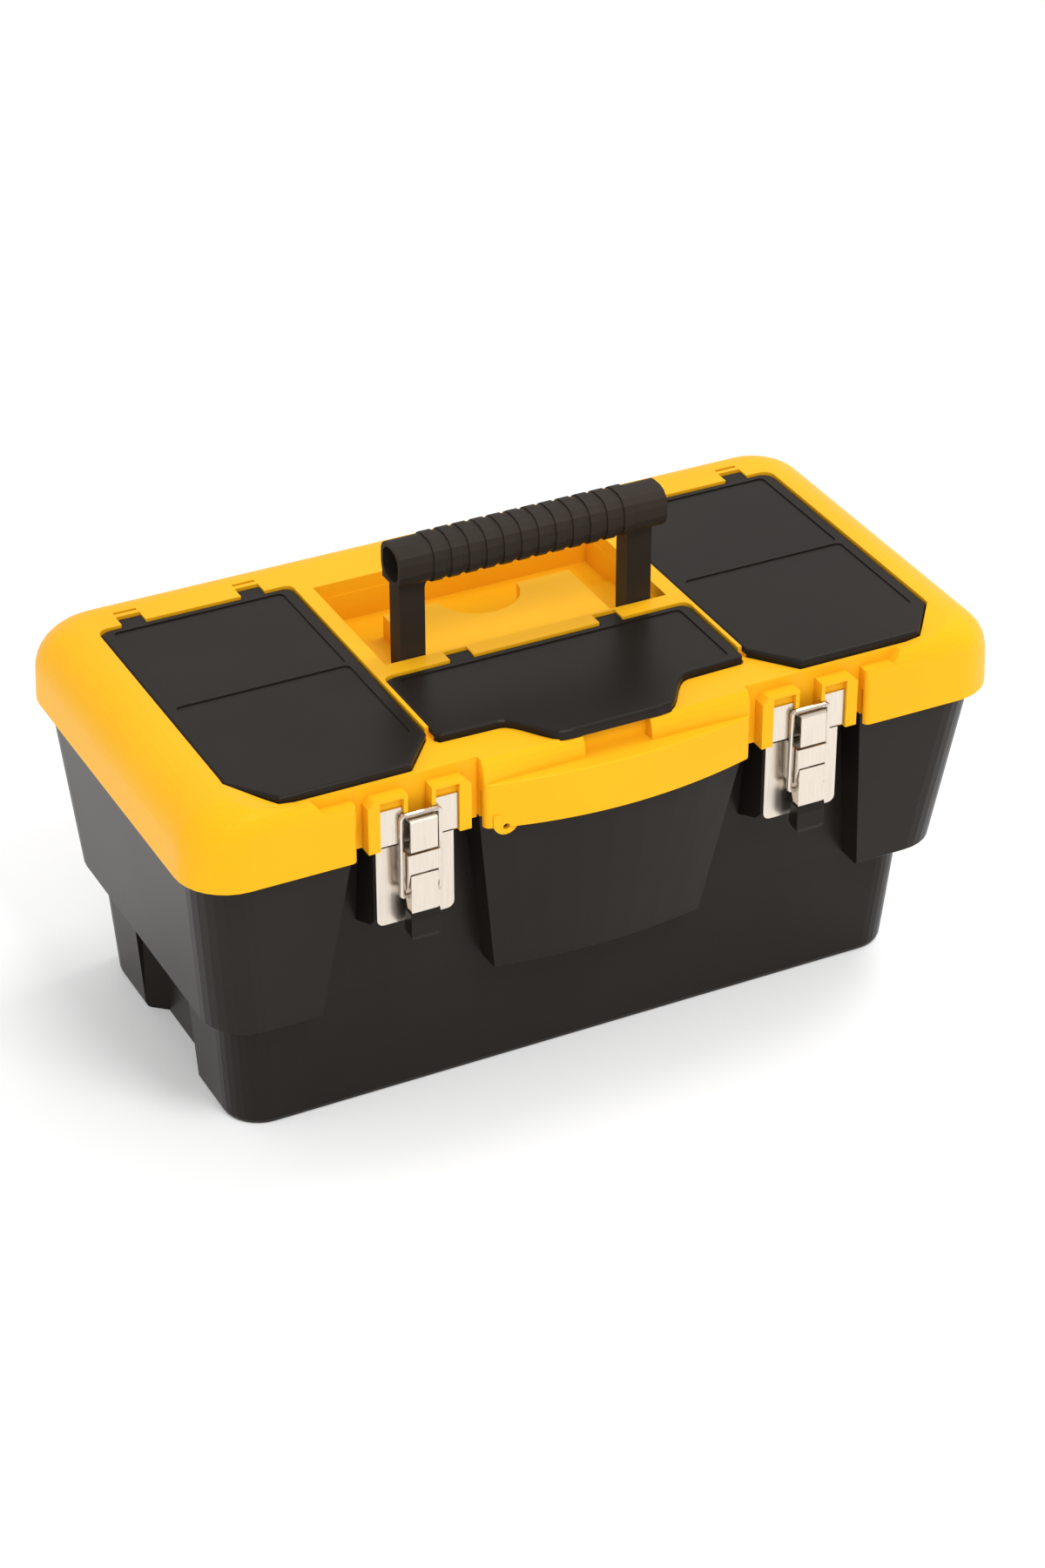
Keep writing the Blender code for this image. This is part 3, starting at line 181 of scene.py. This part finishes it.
def plastic(name, look):
    material = bpy.data.materials.new(name)
    material.use_nodes = True
    nodes, links = material.node_tree.nodes, material.node_tree.links
    shader = nodes["Principled BSDF"]
    shader.inputs["Specular IOR Level"].default_value = look["gloss"]
    shader.inputs["Specular Tint"].default_value = (*look["shine"], 1)
    place = nodes.new("ShaderNodeTexCoord")
    slow = makeNoise(nodes, drift["scale"], drift["detail"])
    links.new(place.outputs["Object"], slow.inputs["Vector"])
    tintAndRoughen(nodes, links, slow, look, drift["from"], drift["to"])
    fine = makeNoise(nodes, look["pebble"], pebble["detail"])
    links.new(place.outputs["Object"], fine.inputs["Vector"])
    dent(nodes, links, fine, look["bump"], pebble["height"])
    return material


# bright nickel plate over drawn steel: faint draw lines and small soft dents
nickel = {
    "color": (0.68, 0.61, 0.53),
    "deep": (0.60, 0.54, 0.46),
    "rough": (0.20, 0.30),
    "lines": 60,
    "stretch": (40, 40, 1),
    "detail": 4,
    "from": 0.3,
    "to": 0.6,
    "bump": 0.05,
    "height": 0.0002,
}


def platedSteel(name, look):
    material = bpy.data.materials.new(name)
    material.use_nodes = True
    nodes, links = material.node_tree.nodes, material.node_tree.links
    nodes["Principled BSDF"].inputs["Metallic"].default_value = 1.0
    place = nodes.new("ShaderNodeTexCoord")
    stretch = nodes.new("ShaderNodeMapping")
    stretch.inputs["Scale"].default_value = look["stretch"]
    links.new(place.outputs["Object"], stretch.inputs["Vector"])
    drawn = makeNoise(nodes, look["lines"], look["detail"])
    links.new(stretch.outputs["Vector"], drawn.inputs["Vector"])
    tintAndRoughen(nodes, links, drawn, look, look["from"], look["to"])
    dent(nodes, links, drawn, look["bump"], look["height"])
    return material


yellowPlastic = plastic("yellow plastic", yellow)
blackPlastic = plastic("black plastic", black)
gripPlastic = plastic("grip plastic", gripBlack)
trayPlastic = plastic("tray plastic", trayGrey)
nickelSteel = platedSteel("nickel steel", nickel)
print("finishes made")

# each CAD piece keeps its shape; its sharp edges get a small moulded radius
slotFinish = {
    "yellow_plastic": yellowPlastic,
    "black_plastic": blackPlastic,
    "tray_plastic": trayPlastic,
    "nickel_steel": nickelSteel,
}
edges = {
    "lid_shell": 0.8,
    "base_tub": 1.0,
    "handle": 0.6,
    "tray": 0.5,
    "cover_left": 0.3,
    "cover_right": 0.3,
    "cover_centre": 0.3,
    "other": 0.25,
    "steps": 2,
    "sharperThan": 32,
    "flatterThan": 0.6,
    "evenness": 80,
}


def finishNode(name, node, material):
    node.data.materials.clear()
    node.data.materials.append(material)
    node.data.shade_smooth()
    flat = node.modifiers.new("flat faces", "DECIMATE")
    flat.decimate_type = "DISSOLVE"
    flat.angle_limit = radians(edges["flatterThan"])
    soft = node.modifiers.new("soft edges", "BEVEL")
    soft.width = edges.get(name, edges["other"]) * mm
    soft.segments = edges["steps"]
    soft.limit_method = "ANGLE"
    soft.angle_limit = radians(edges["sharperThan"])
    soft.use_clamp_overlap = False
    even = node.modifiers.new("even shading", "WEIGHTED_NORMAL")
    even.weight = edges["evenness"]


slotOf = {row["node"]: row["material_slot"] for row in frame["record"]["subparts"]}
for name, node in frame["nodes"].items():
    finish = gripPlastic if name == "handle" else slotFinish[slotOf[name]]
    finishNode(name, node, finish)
print("nodes finished")
